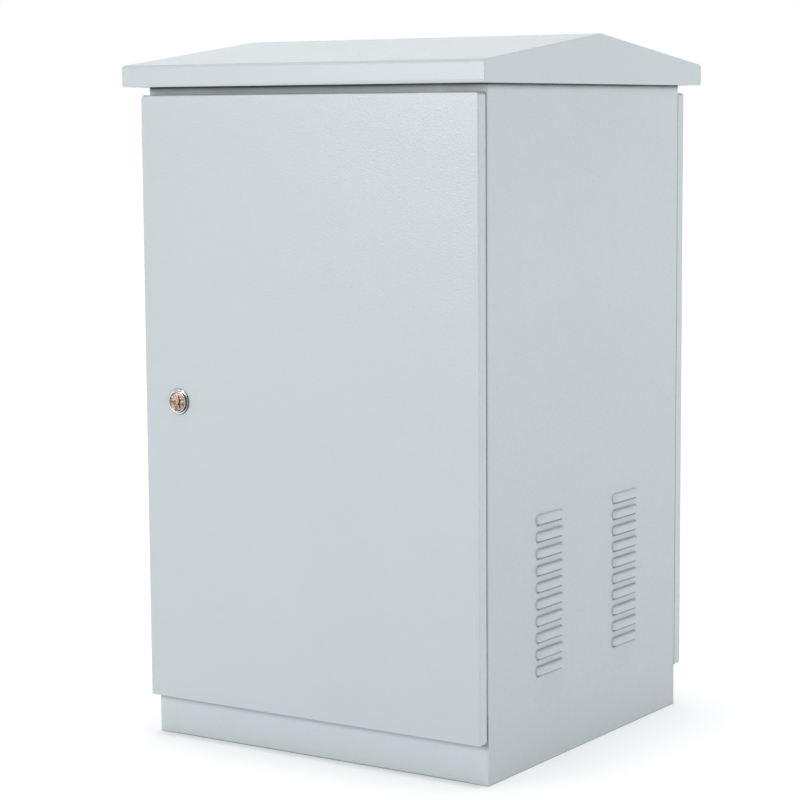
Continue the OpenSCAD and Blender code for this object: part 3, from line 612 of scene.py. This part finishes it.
def softCorners(profile, radius, steps=3):
    # rounds every corner of a closed (radius, height) profile
    rounded = []
    for before, corner, after in zip(profile[-1:] + profile[:-1], profile, profile[1:] + profile[:1]):
        here, back, ahead = Vector(corner), Vector(before) - Vector(corner), Vector(after) - Vector(corner)
        reach = min(radius, back.length * 0.4, ahead.length * 0.4)
        if corner[0] < 1e-6 or back.angle(ahead) > 3.0:
            rounded.append(corner)
            continue
        start, end = here + back.normalized() * reach, here + ahead.normalized() * reach
        for step in range(steps + 1):
            t = step / steps
            rounded.append(tuple(start * (1 - t) ** 2 + here * 2 * t * (1 - t) + end * t ** 2))
    return rounded


def drillThrough(thing, radius, place, length=0.02):
    drill = bmesh.new()
    bmesh.ops.create_cone(drill, cap_ends=True, segments=64, radius1=radius, radius2=radius, depth=length,
                          matrix=Matrix.Translation(place) @ Matrix.Rotation(math.pi / 2, 4, "X"))
    mesh = bpy.data.meshes.new("drill")
    drill.to_mesh(mesh)
    drill.free()
    cutter = bpy.data.objects.new("drill", mesh)
    scene.collection.objects.link(cutter)
    cutAway(thing, cutter)


def joinInto(thing, extra):
    work = bmesh.new()
    work.from_mesh(thing.data)
    work.from_mesh(extra.data)
    work.to_mesh(thing.data)
    work.free()
    bpy.data.objects.remove(extra)


def addPair(front, bodyFront, bodyRear, node, rearName):
    # the front door's piece and its twin on the rear door
    rear = copyOf(front, rearName)
    turnedHalf(rear)
    settle(front, bodyFront, "front_" + node)
    settle(rear, bodyRear, "rear_" + node)


# side panels

sidePanel = {
    "sheet": 1.5 * mm,
    "bendMiddle": 1.75 * mm,  # radius of a bend at the middle of the sheet
    "louvreLength": 77 * mm,
    "louvreRise": 12 * mm,
    "louvreOut": 5.5 * mm,
    "louvrePitch": 25 * mm,
    "louvreRows": 10,
    "columnSpan": 233 * mm,
    "lowestMouth": 135.5 * mm,
    "cornerReach": 7 * mm,  # how far along the louvre its rounded ends reach
    "topCurve": 4.6,  # higher: the hood keeps its full height longer before it bends in
    "endCurve": 4.0,
    "hoodSwell": 0.65,
    "underLip": 2 * mm,  # a line of the mesh below every mouth
    "lip": 10 * mm,  # how far the lip stands out of the frame face
    "sill": 98 * mm,  # height where the lip begins
    "slotBelow": 0.3 * mm,  # room round a hinge in the front flange
    "slotAbove": 0.2 * mm,
    "slotSide": 0.3 * mm,
    "slotReach": 3.3 * mm,
    "levels": (0.0, 0.08, 0.22, 0.36, 0.5, 0.6, 0.68, 0.76, 0.83, 0.89, 0.94, 0.975, 1.0, 1.05, 1.2),
}


def hoodHeight(across, up, values):
    # straight lower lip, sides and top that curve down into the sheet
    half, corner = values["louvreLength"] / 2, values["cornerReach"]
    along = max(abs(across) - half + corner, 0.0) / corner
    share = (up / values["louvreRise"]) ** values["topCurve"] + along ** values["endCurve"]
    return values["louvreOut"] * max(0.0, 1.0 - share) ** values["hoodSwell"]


def lineSpread(values):
    # where lines of the mesh cross a louvre: close together at its ends, wide apart in the straight middle
    half, corner = values["louvreLength"] / 2, values["cornerReach"]
    shares = (0.0, 0.25, 0.45, 0.6, 0.72, 0.82, 0.9, 0.955, 0.985, 1.0, 1.04, 1.15)
    ends = [half - corner * (1 - t) for t in shares]
    middle = [(half - corner) * t for t in (0.0, 0.25, 0.5, 0.75)]
    return sorted({-x for x in ends + middle} | set(ends + middle))


def makeSidePanel(values):
    low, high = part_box("side_panel_right")
    half = values["sheet"] / 2
    openingX, depth = low.x + half, high.y - values["lip"]
    width = high.x - values["louvreOut"]
    lipTip = high.y
    sill, head = values["sill"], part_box("front_top_rail")[0].z
    corners = [(openingX, -lipTip), (openingX, half - depth), (width - half, half - depth),
               (width - half, depth - half), (openingX, depth - half), (openingX, lipTip)]
    line = foldedLine(corners, values["bendMiddle"])
    # the long flat side gets extra lines where the louvres are
    flat = next(i for i in range(len(line) - 1) if (line[i + 1] - line[i]).length > 0.4)
    columns = [-values["columnSpan"] / 2, values["columnSpan"] / 2]
    extra = [column + x for column in columns for x in lineSpread(values)]
    line[flat + 1:flat + 1] = [Vector((width - half, y)) for y in sorted(extra)]
    mouths = [values["lowestMouth"] + k * values["louvrePitch"] for k in range(values["louvreRows"])]
    rows = {(0.0, 0), (sill, 0), (head, 0), (high.z, 0)}
    for mouth in mouths:
        rows |= {(mouth, -1), (mouth, 1), (mouth - values["underLip"], 0)}
        rows |= {(mouth + values["louvreRise"] * share, 0) for share in values["levels"][1:]}
    slots = []
    for name in ("front_hinge_fixed_lower", "front_hinge_fixed_upper"):
        bottom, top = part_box(name)
        slots.append((bottom.z - values["slotBelow"], top.z + values["slotAbove"],
                      bottom.x - values["slotSide"], bottom.x + values["slotReach"]))
        rows |= {(slots[-1][0], 0), (slots[-1][1], 0)}
    rows = sorted(rows)
    # two more lines bound the hinge slots in the front flange
    front = next(i for i in range(len(line) - 1) if line[i].x < slots[0][2] < line[i + 1].x)
    line[front + 1:front + 1] = [Vector((slots[0][2], half - depth)), Vector((slots[0][3], half - depth))]
    slotCell = front + 1
    lipCells = [i for i in range(len(line) - 1)
                if max(line[i].x, line[i + 1].x) < openingX + values["bendMiddle"] + 0.01 * mm]
    points, faces = [], []
    for z, side in rows:
        for spot in line:
            rise = 0.0
            if side >= 0 and spot.x > width - half - 1e-6 and abs(spot.y) < 0.2:
                for mouth in mouths:
                    if 0 <= z - mouth < values["louvreRise"]:
                        column = min(columns, key=lambda y: abs(spot.y - y))
                        rise = hoodHeight(spot.y - column, z - mouth, values)
            points.append((spot.x + rise, spot.y, z))
    count = len(line)
    for j in range(len(rows) - 1):
        if rows[j][0] == rows[j + 1][0]:
            continue
        middle = (rows[j][0] + rows[j + 1][0]) / 2
        for i in range(count - 1):
            if i in lipCells and not sill < middle < head:
                continue
            if i == slotCell and any(s[0] < middle < s[1] for s in slots):
                continue
            a = j * count + i
            faces.append((a, a + 1, a + count + 1, a + count))
    panel = makeObject("sidePanelRight", points, faces, paintWalls)
    tidyMesh(panel)
    thicken(panel, values["sheet"])
    smoothByAngle(panel, 38)
    evenNormals(panel)
    return panel


rightPanel = makeSidePanel(sidePanel)
leftPanel = copyOf(rightPanel, "sidePanelLeft")
turnedHalf(leftPanel)
settle(rightPanel, "cabinet", "side_panel_right")
settle(leftPanel, "cabinet", "side_panel_left")
print("side panels:", len(rightPanel.data.polygons), "faces each")


# roof

roof = {
    "sheet": 1.5 * mm,
    "fascia": 32 * mm,
    "eaveRadius": 6.0 * mm,
    "footRadius": 4.6 * mm,
    "ridgeRadius": 9 * mm,
    "returnWidth": 12 * mm,
    "gableEdge": 1.1 * mm,
}


def gableLine(low, high, inset, values):
    side, foot = high.y - inset, low.z + inset
    slope = math.atan2(high.z - low.z - values["fascia"], high.y)
    shoulder = low.z + values["fascia"] + inset * math.tan(slope) - inset / math.cos(slope)
    ridge = high.z - inset / math.cos(slope)
    footBend, eaveBend = values["footRadius"] - inset, values["eaveRadius"] - inset
    corners = [((0, foot), 0), ((side, foot), footBend), ((side, shoulder), eaveBend),
               ((0, ridge), values["ridgeRadius"]), ((-side, shoulder), eaveBend), ((-side, foot), footBend),
               ((0, foot), 0)]
    points = []
    for (before, _), (corner, radius), (after, _) in zip(corners, corners[1:], corners[2:]):
        points += foldedLine([before, corner, after], radius)[1:-1]
    return points


def extrudeOutline(name, outline, start, end, material):
    points = [(x, spot.x, spot.y) for x in (start, end) for spot in outline]
    thing = makeObject(name, points, prismFaces(len(outline)), material)
    tidyMesh(thing)
    return thing


def makeRoof(values):
    low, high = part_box("roof_cap")
    sheet, back = values["sheet"], values["returnWidth"]
    cap = extrudeOutline("roofCap", gableLine(low, high, 0, values), low.x, high.x, paint)
    rim = cap.modifiers.new("gableEdge", "BEVEL")
    rim.width, rim.segments = values["gableEdge"], 3
    rim.limit_method, rim.angle_limit = "ANGLE", math.radians(60)
    bakeModifiers(cap)
    hollow = extrudeOutline("roofHollow", gableLine(low, high, sheet, values), low.x + sheet, high.x - sheet,
                            paint)
    cutAway(cap, hollow)
    mouth = plainBox("roofMouth", (low.x + back, low.y + back, low.z - 10 * mm),
                     (high.x - back, high.y - back, low.z + 5 * mm), paint)
    cutAway(cap, mouth)
    smoothByAngle(cap, 32)
    evenNormals(cap)
    return cap


roofCap = makeRoof(roof)
settle(roofCap, "cabinet", "roof_cap")
print("roof cap:", len(roofCap.data.polygons), "faces")


# doors

doorPan = {
    "sheet": 1.5 * mm,
    "frontRadius": 2.3 * mm,
    "backRadius": 1.65 * mm,
    "cornerRadii": (6.0 * mm, 3.2 * mm),  # upper and lower corners
    "flange": 15 * mm,
    "lockHole": 11.3 * mm,
    "notchExtra": 5 * mm,
}


def trayLine(face, back, radiusFront, radiusBack, flange, inset):
    # half a turn round the tray's edge, from the flange's tip to the front face, as (inset, y) pairs
    line = [(flange, back)]
    for centreIn, centreY, radius, start in ((inset + radiusBack, back - radiusBack, radiusBack, 90),
                                             (inset + radiusFront, face + radiusFront, radiusFront, 180)):
        for step in range(6):
            angle = math.radians(start + 90 * step / 5)
            line.append((centreIn + radius * math.cos(angle), centreY + radius * math.sin(angle)))
    return line


def makeDoorPan(values):
    low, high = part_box("front_door_pan")
    sheet, flange = values["sheet"], values["flange"]
    outer = trayLine(low.y, high.y, values["frontRadius"], values["backRadius"], flange, 0)
    inner = trayLine(low.y + sheet, high.y - sheet, values["frontRadius"] - sheet,
                     values["backRadius"] - sheet, flange, sheet)
    section = list(reversed(inner)) + outer
    pan = sweptRing("frontDoorPan", low, high, section, values["cornerRadii"], paint, closed=False)
    tidyMesh(pan)
    for name in ("lower", "upper"):
        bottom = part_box("front_hinge_fixed_" + name)[0].z - values["notchExtra"]
        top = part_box("front_hinge_door_" + name)[1].z + values["notchExtra"]
        cutAway(pan, plainBox("hingeNotch", (high.x - flange - 1 * mm, high.y - 5 * mm, bottom),
                              (high.x - sheet, high.y + 1 * mm, top), paint))
    lockLow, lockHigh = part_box("front_lock_housing")
    centre = (lockLow + lockHigh) / 2
    drillThrough(pan, values["lockHole"], (centre.x, low.y, centre.z))
    smoothByAngle(pan, 32)
    evenNormals(pan)
    return pan


frontPan = makeDoorPan(doorPan)
print("door pans:", len(frontPan.data.polygons), "faces each")
addPair(frontPan, "front_door", "rear_door", "door_pan", "rearDoorPan")


# door seals

doorSeal = {
    "width": 12 * mm,
    "cornerRadius": 4 * mm,
    "skinRadius": 2.2 * mm,
    "softness": 0.25 * mm,  # how far the foam's faces wander
    "waves": 55.0,
}


def makeDoorSeal(values):
    low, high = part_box("front_door_gasket")
    width, radius, corner = values["width"], values["skinRadius"], values["cornerRadius"]
    section = []
    for inset, y, start in ((radius, high.y - radius, 90), (radius, low.y + radius, 180),
                            (width - radius, low.y + radius, 270), (width - radius, high.y - radius, 0)):
        for step in range(4):
            angle = math.radians(start + 30 * step)
            section.append((inset + radius * math.cos(angle), y + radius * math.sin(angle)))
    seal = sweptRing("frontDoorSeal", low, high, section, (corner, corner), sealFoam, steps=5)
    work = bmesh.new()
    work.from_mesh(seal.data)
    long = [edge for edge in work.edges if edge.calc_length() > 0.3]
    bmesh.ops.subdivide_edges(work, edges=long, cuts=90, use_grid_fill=True)
    bmesh.ops.recalc_face_normals(work, faces=work.faces)
    middle = (low + high) / 2
    for vertex in work.verts:
        spot = vertex.co
        ripple = math.sin(spot.x * values["waves"]) * math.cos(spot.z * values["waves"] * 0.8)
        ripple = abs(values["softness"] * ripple)
        inside = 1 if abs(spot.x - low.x) > 0.3 * mm and abs(high.x - spot.x) > 0.3 * mm else 0
        if low.y + 1 * mm < spot.y < high.y - 1 * mm:
            continue
        spot.y += -ripple * inside if spot.y > middle.y else ripple * inside
    work.to_mesh(seal.data)
    work.free()
    smoothByAngle(seal, 50)
    return seal


frontSeal = makeDoorSeal(doorSeal)
print("door seals:", len(frontSeal.data.polygons), "faces each")
addPair(frontSeal, "front_door", "rear_door", "door_gasket", "rearDoorSeal")


# locks

lock = {
    "flangeRadius": 19.5 * mm,
    "ringRadius": 16.4 * mm,
    "proud": 5 * mm,
    "faceRadius": 13.8 * mm,
    "faceBelow": 0.3 * mm,
    "barrelRadius": 11 * mm,
    "threadPitch": 1.0 * mm,
    "threadDepth": 0.45 * mm,
    "edge": 0.35 * mm,
    "keyWidth": 3.0 * mm,
    "keyHeight": 18 * mm,
    "keyPlace": 4.4 * mm,
    "keyWave": 1.1 * mm,
    "screwRadius": 2.5 * mm,
    "stub": 8 * mm,  # width of the square end that carries the cam
    "bore": 8.06 * mm,
    "seatDepth": 2.5 * mm,
    "plugRadius": 8 * mm,
    "plugHead": 2.2 * mm,
    "tailDepth": 7 * mm,  # how deep the cam's screw enters the plug
}


def lockAxis():
    low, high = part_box("front_lock_housing")
    return (low.x + high.x) / 2, low.y + lock["proud"], (low.z + high.z) / 2


def makeLockHousing(values):
    low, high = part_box("front_lock_housing")
    proud, length = values["proud"], high.y - low.y - values["proud"]
    bore, seat = values["bore"], values["proud"] - values["seatDepth"]
    mouth = values["faceRadius"] + 0.3 * mm
    collar = [(bore, -length), (values["barrelRadius"] - 0.6 * mm, -length)]
    thread = []
    height, turn = 0.6 * mm - length, 0
    while height < -2.2 * mm:
        thread.append((values["barrelRadius"] - (values["threadDepth"] if turn % 2 else 0.0), height))
        height += values["threadPitch"] / 2
        turn += 1
    front = [(values["barrelRadius"] - 0.1 * mm, -1.8 * mm), (values["barrelRadius"] - 0.1 * mm, 0.0),
             (values["flangeRadius"], 0.0), (values["flangeRadius"], 1.0 * mm),
             (values["flangeRadius"] - 0.9 * mm, 2.0 * mm), (values["ringRadius"] + 0.7 * mm, 1.7 * mm),
             (values["ringRadius"] + 0.15 * mm, 2.2 * mm), (values["ringRadius"], proud - 0.9 * mm),
             (values["ringRadius"] - 0.75 * mm, proud), (mouth + 0.55 * mm, proud),
             (mouth, proud - 0.9 * mm), (mouth, seat), (bore, seat)]
    profile = softCorners(collar + thread, 0.12 * mm, 1) + softCorners(front, values["edge"], 3)
    housing = turned("frontLockHousing", profile, lockAxis(), chromed, 112)
    smoothByAngle(housing, 40)
    return housing


def makeLockPlug(values):
    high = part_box("front_lock_plug")[1]
    axis = lockAxis()
    face = values["proud"] - values["faceBelow"]
    seat = values["proud"] - values["plugHead"]
    camHeight = axis[1] - high.y + 2.4 * mm
    shaft, screw, tail = values["plugRadius"], values["screwRadius"], camHeight + values["tailDepth"]
    profile = [(0.0, face), (values["faceRadius"], face), (values["faceRadius"], seat), (shaft, seat),
               (shaft, camHeight), (screw, camHeight), (screw, tail), (0.0, tail)]
    plug = turned("frontLockPlug", softCorners(profile, values["edge"], 3), axis, copperyFace, 112)
    half = values["keyHeight"] / 2
    path = [(values["keyPlace"] + values["keyWave"] * math.sin(5.2 * t), half * t)
            for t in [k / 12 - 1 for k in range(25)]]
    edge = values["keyWidth"] / 2
    outline = [(x + edge, z) for x, z in path] + [(x - edge, z) for x, z in reversed(path)]
    for depth, part in ((1.5 * mm, 1.0), (9 * mm, 0.44)):
        points = [(axis[0] + x, axis[1] - face + reach, axis[2] + z * part)
                  for reach in (-2 * mm, depth) for x, z in outline]
        slotCutter = makeObject("keySlot", points, prismFaces(len(outline)), copperyFace)
        tidyMesh(slotCutter)
        cutAway(plug, slotCutter)
    side = values["stub"] / 2
    square = [(-side, -side), (side, -side), (side, side), (-side, side)]
    hole = [(screw * math.cos(math.radians(angle)), screw * math.sin(math.radians(angle)))
            for angle in (225, 315, 45, 135)]
    levels = (camHeight + 0.5 * mm, axis[1] - high.y)
    points = [(axis[0] + x, axis[1] - level, axis[2] + z) for ring in (square, hole) for level in levels
              for x, z in ring]
    faces = []
    for i in range(4):
        j = (i + 1) % 4
        faces += [(i, j, 4 + j, 4 + i), (8 + i, 12 + i, 12 + j, 8 + j), (4 + i, 4 + j, 12 + j, 12 + i),
                  (i, 8 + i, 8 + j, j)]
    stub = makeObject("plugStub", points, faces, copperyFace)
    tidyMesh(stub)
    joinInto(plug, stub)
    smoothByAngle(plug, 35)
    return plug


frontHousing = makeLockHousing(lock)
addPair(frontHousing, "front_door", "rear_door", "lock_housing", "rearLockHousing")
frontPlug = makeLockPlug(lock)
addPair(frontPlug, "front_lock", "rear_lock", "lock_plug", "rearLockPlug")
print("lock housings:", len(frontHousing.data.polygons), "faces, plugs:", len(frontPlug.data.polygons))


# filter mats

filterMat = {
    "cell": 5 * mm,
    "pillow": 0.9 * mm,  # how much the mat thins towards its cut edges
    "lumps": 0.7 * mm,
    "lumpSize": 28.0,
}


def makeFilterMat(values):
    low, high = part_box("filter_mat_right")
    size = high - low
    countY, countZ = round(size.y / values["cell"]), round(size.z / values["cell"])
    points, faces = [], []
    for outward in (1, 0):
        for j in range(countZ + 1):
            for i in range(countY + 1):
                spot = Vector((high.x if outward else low.x, low.y + size.y * i / countY,
                               low.z + size.z * j / countZ))
                edge = min(i, countY - i, j, countZ - j)
                sink = values["pillow"] * (1.0, 0.45, 0.15, 0.0)[min(edge, 3)]
                sink += values["lumps"] * max(0.0, wander.noise(spot * values["lumpSize"]) + 0.25)
                spot.x += -sink if outward else sink
                points.append(spot)
    row, layer = countY + 1, (countY + 1) * (countZ + 1)
    for j in range(countZ):
        for i in range(countY):
            a = j * row + i
            faces += [(a, a + 1, a + row + 1, a + row),
                      (layer + a, layer + a + row, layer + a + row + 1, layer + a + 1)]
    rim = list(range(row)) + [row * k + countY for k in range(1, countZ + 1)]
    rim += [row * countZ + i for i in range(countY - 1, -1, -1)] + [row * k for k in range(countZ - 1, 0, -1)]
    faces += [(b, a, layer + a, layer + b) for a, b in zip(rim, rim[1:] + rim[:1])]
    mat = makeObject("filterMatRight", points, faces, filterFibre)
    tidyMesh(mat)
    smoothByAngle(mat, 50)
    return mat


rightMat = makeFilterMat(filterMat)
leftMat = copyOf(rightMat, "filterMatLeft")
turnedHalf(leftMat)
settle(rightMat, "cabinet", "filter_mat_right")
settle(leftMat, "cabinet", "filter_mat_left")
print("filter mats:", len(rightMat.data.polygons), "faces each")


# finishes of the frame's own pieces

finishOf = {
    "walls": (paintWalls, ("top_rail", "plinth")),
    "inside": (paintInside, ("top_plate", "base_plate", "door_stiffeners")),
    "zinc": (zincSheet, ("gland_plate", "roof_brace", "filter_holder", "side_rails", "rack_post", "shelf",
                         "lock_cam")),
    "plated": (platedSteel, ("screws", "bolts", "nuts", "hinge", "earth_stud", "lock_nut", "lock_screw")),
    "chrome": (chromed, ("lock_housing",)),
    "brass": (copperyFace, ("lock_plug",)),
    "foam": (sealFoam, ("gasket",)),
    "rubber": (blackRubber, ("grommets", "spacers")),
}

for name, node in cadNodes.items():
    found = None
    for material, words in finishOf.values():
        if any(word in name for word in words):
            found = material
    if found is None:
        continue
    for place in node.material_slots:
        place.material = found
print("frame pieces finished")


# studio

studio = {
    "cameraPlace": (2.04737, -3.16019, 0.95642),
    "cameraRight": (0.83490242, 0.55036222, -0.00627558),
    "cameraUp": (-0.05970046, 0.10188877, 0.99300279),
    "cameraBack": (0.54715062, -0.82868577, 0.11792406),
    "lens": 108.54,
    "floorReach": 40.0,
    "floorColour": (0.75, 0.76, 0.76),
    "floorGlow": 0.31,  # the floor is a lit table
    "horizonLight": 1.53,
    "skyLight": 0.35,
    "horizonHeight": 0.34,  # sine of the angle where the bright band of the room ends
    "darkBehindCamera": 0.55,
    "dimSide": (0.6, 0.8, 0.0),  # the room is dimmer on the far right
    "dimShare": 0.9,
    "topLight": 1.8,
    "topColour": (1.0, 0.965, 1.0),
    # each box: place, aim, width, height, power, tint, whether it also lights matt surfaces
    "boxes": {
        "leftBox": ((-2.6, -4.4, 2.0), (0.0, -0.3, 0.5), 2.2, 1.6, 26.0, (1.0, 0.99, 1.0), True),
        "sheenBox": ((-0.95, -2.85, 1.3), (0.2, -0.3, 0.9), 0.8, 0.7, 21.0, (1.0, 1.0, 1.0), False),
    },
}


def alongOf(tree, where, direction):
    # how far a direction of the room points along another one
    return put(tree, "ShaderNodeVectorMath", {0: where, 1: tuple(direction)},
               operation="DOT_PRODUCT").outputs["Value"]


def makeRoom(values):
    world = bpy.data.worlds.new("softRoom")
    scene.world = world
    world.use_nodes = True
    tree = world.node_tree
    tree.nodes.clear()
    where = put(tree, "ShaderNodeTexCoord").outputs["Generated"]
    height = axesOf(tree, where)["Z"]
    band = ramp(tree, height, values["horizonHeight"] * 0.6, values["horizonHeight"] * 1.4,
                values["horizonLight"], values["skyLight"])
    back = Vector(values["cameraBack"]).normalized()
    facing = alongOf(tree, where, back)
    dark = ramp(tree, facing, 0.72, 0.97, 1.0, 1.0 - values["darkBehindCamera"])
    dimmer = ramp(tree, alongOf(tree, where, values["dimSide"]), 0.5, 0.9, 1.0, values["dimShare"])
    strength = times(tree, times(tree, band, dark), dimmer)
    lit = put(tree, "ShaderNodeBackground", {"Color": (0.985, 0.99, 1.0, 1.0), "Strength": strength})
    seen = put(tree, "ShaderNodeBackground", {"Color": (1.0, 1.0, 1.0, 1.0), "Strength": 1.0})
    ray = put(tree, "ShaderNodeLightPath")
    mix = put(tree, "ShaderNodeMixShader", {0: ray.outputs["Is Camera Ray"], 1: lit.outputs[0],
                                            2: seen.outputs[0]})
    put(tree, "ShaderNodeOutputWorld", {"Surface": mix.outputs[0]})


def makeLamp(name, kind, **settings):
    light = bpy.data.lights.new(name, kind)
    for key, value in settings.items():
        setattr(light, key, value)
    lamp = bpy.data.objects.new(name, light)
    scene.collection.objects.link(lamp)
    lamp.visible_camera = False
    return lamp


def makeStudio(values):
    camera = bpy.data.cameras.new("camera")
    camera.lens, camera.sensor_width, camera.clip_end = values["lens"], 36.0, 100
    eye = bpy.data.objects.new("camera", camera)
    scene.collection.objects.link(eye)
    turn = Matrix((values["cameraRight"], values["cameraUp"], values["cameraBack"])).transposed()
    eye.matrix_world = Matrix.Translation(values["cameraPlace"]) @ turn.to_4x4()
    scene.camera = eye
    makeRoom(values)

    floorMaterial, _, shader = startMaterial("paleFloor", {"Roughness": 0.9, "Specular IOR Level": 0.0})
    shader.inputs["Base Color"].default_value = colour(values["floorColour"])
    shader.inputs["Emission Color"].default_value = (1.0, 1.0, 1.0, 1.0)
    shader.inputs["Emission Strength"].default_value = values["floorGlow"]
    reach = values["floorReach"]
    corners = [(-reach, -reach, 0), (reach, -reach, 0), (reach, reach, 0), (-reach, reach, 0)]
    floor = makeObject("studioFloor", corners, [(0, 1, 2, 3)], floorMaterial)

    makeLamp("topLight", "SUN", energy=values["topLight"], angle=math.radians(25), color=values["topColour"])
    for name, (place, aim, width, height, power, tint, spread) in values["boxes"].items():
        lamp = makeLamp(name, "AREA", shape="RECTANGLE", size=width, size_y=height, energy=power, color=tint)
        lamp.location = place
        lamp.rotation_euler = (Vector(place) - Vector(aim)).to_track_quat("Z", "Y").to_euler()
        lamp.visible_diffuse = spread


makeStudio(studio)
scene.view_settings.view_transform = "Standard"
scene.view_settings.look = "None"
print("studio made")
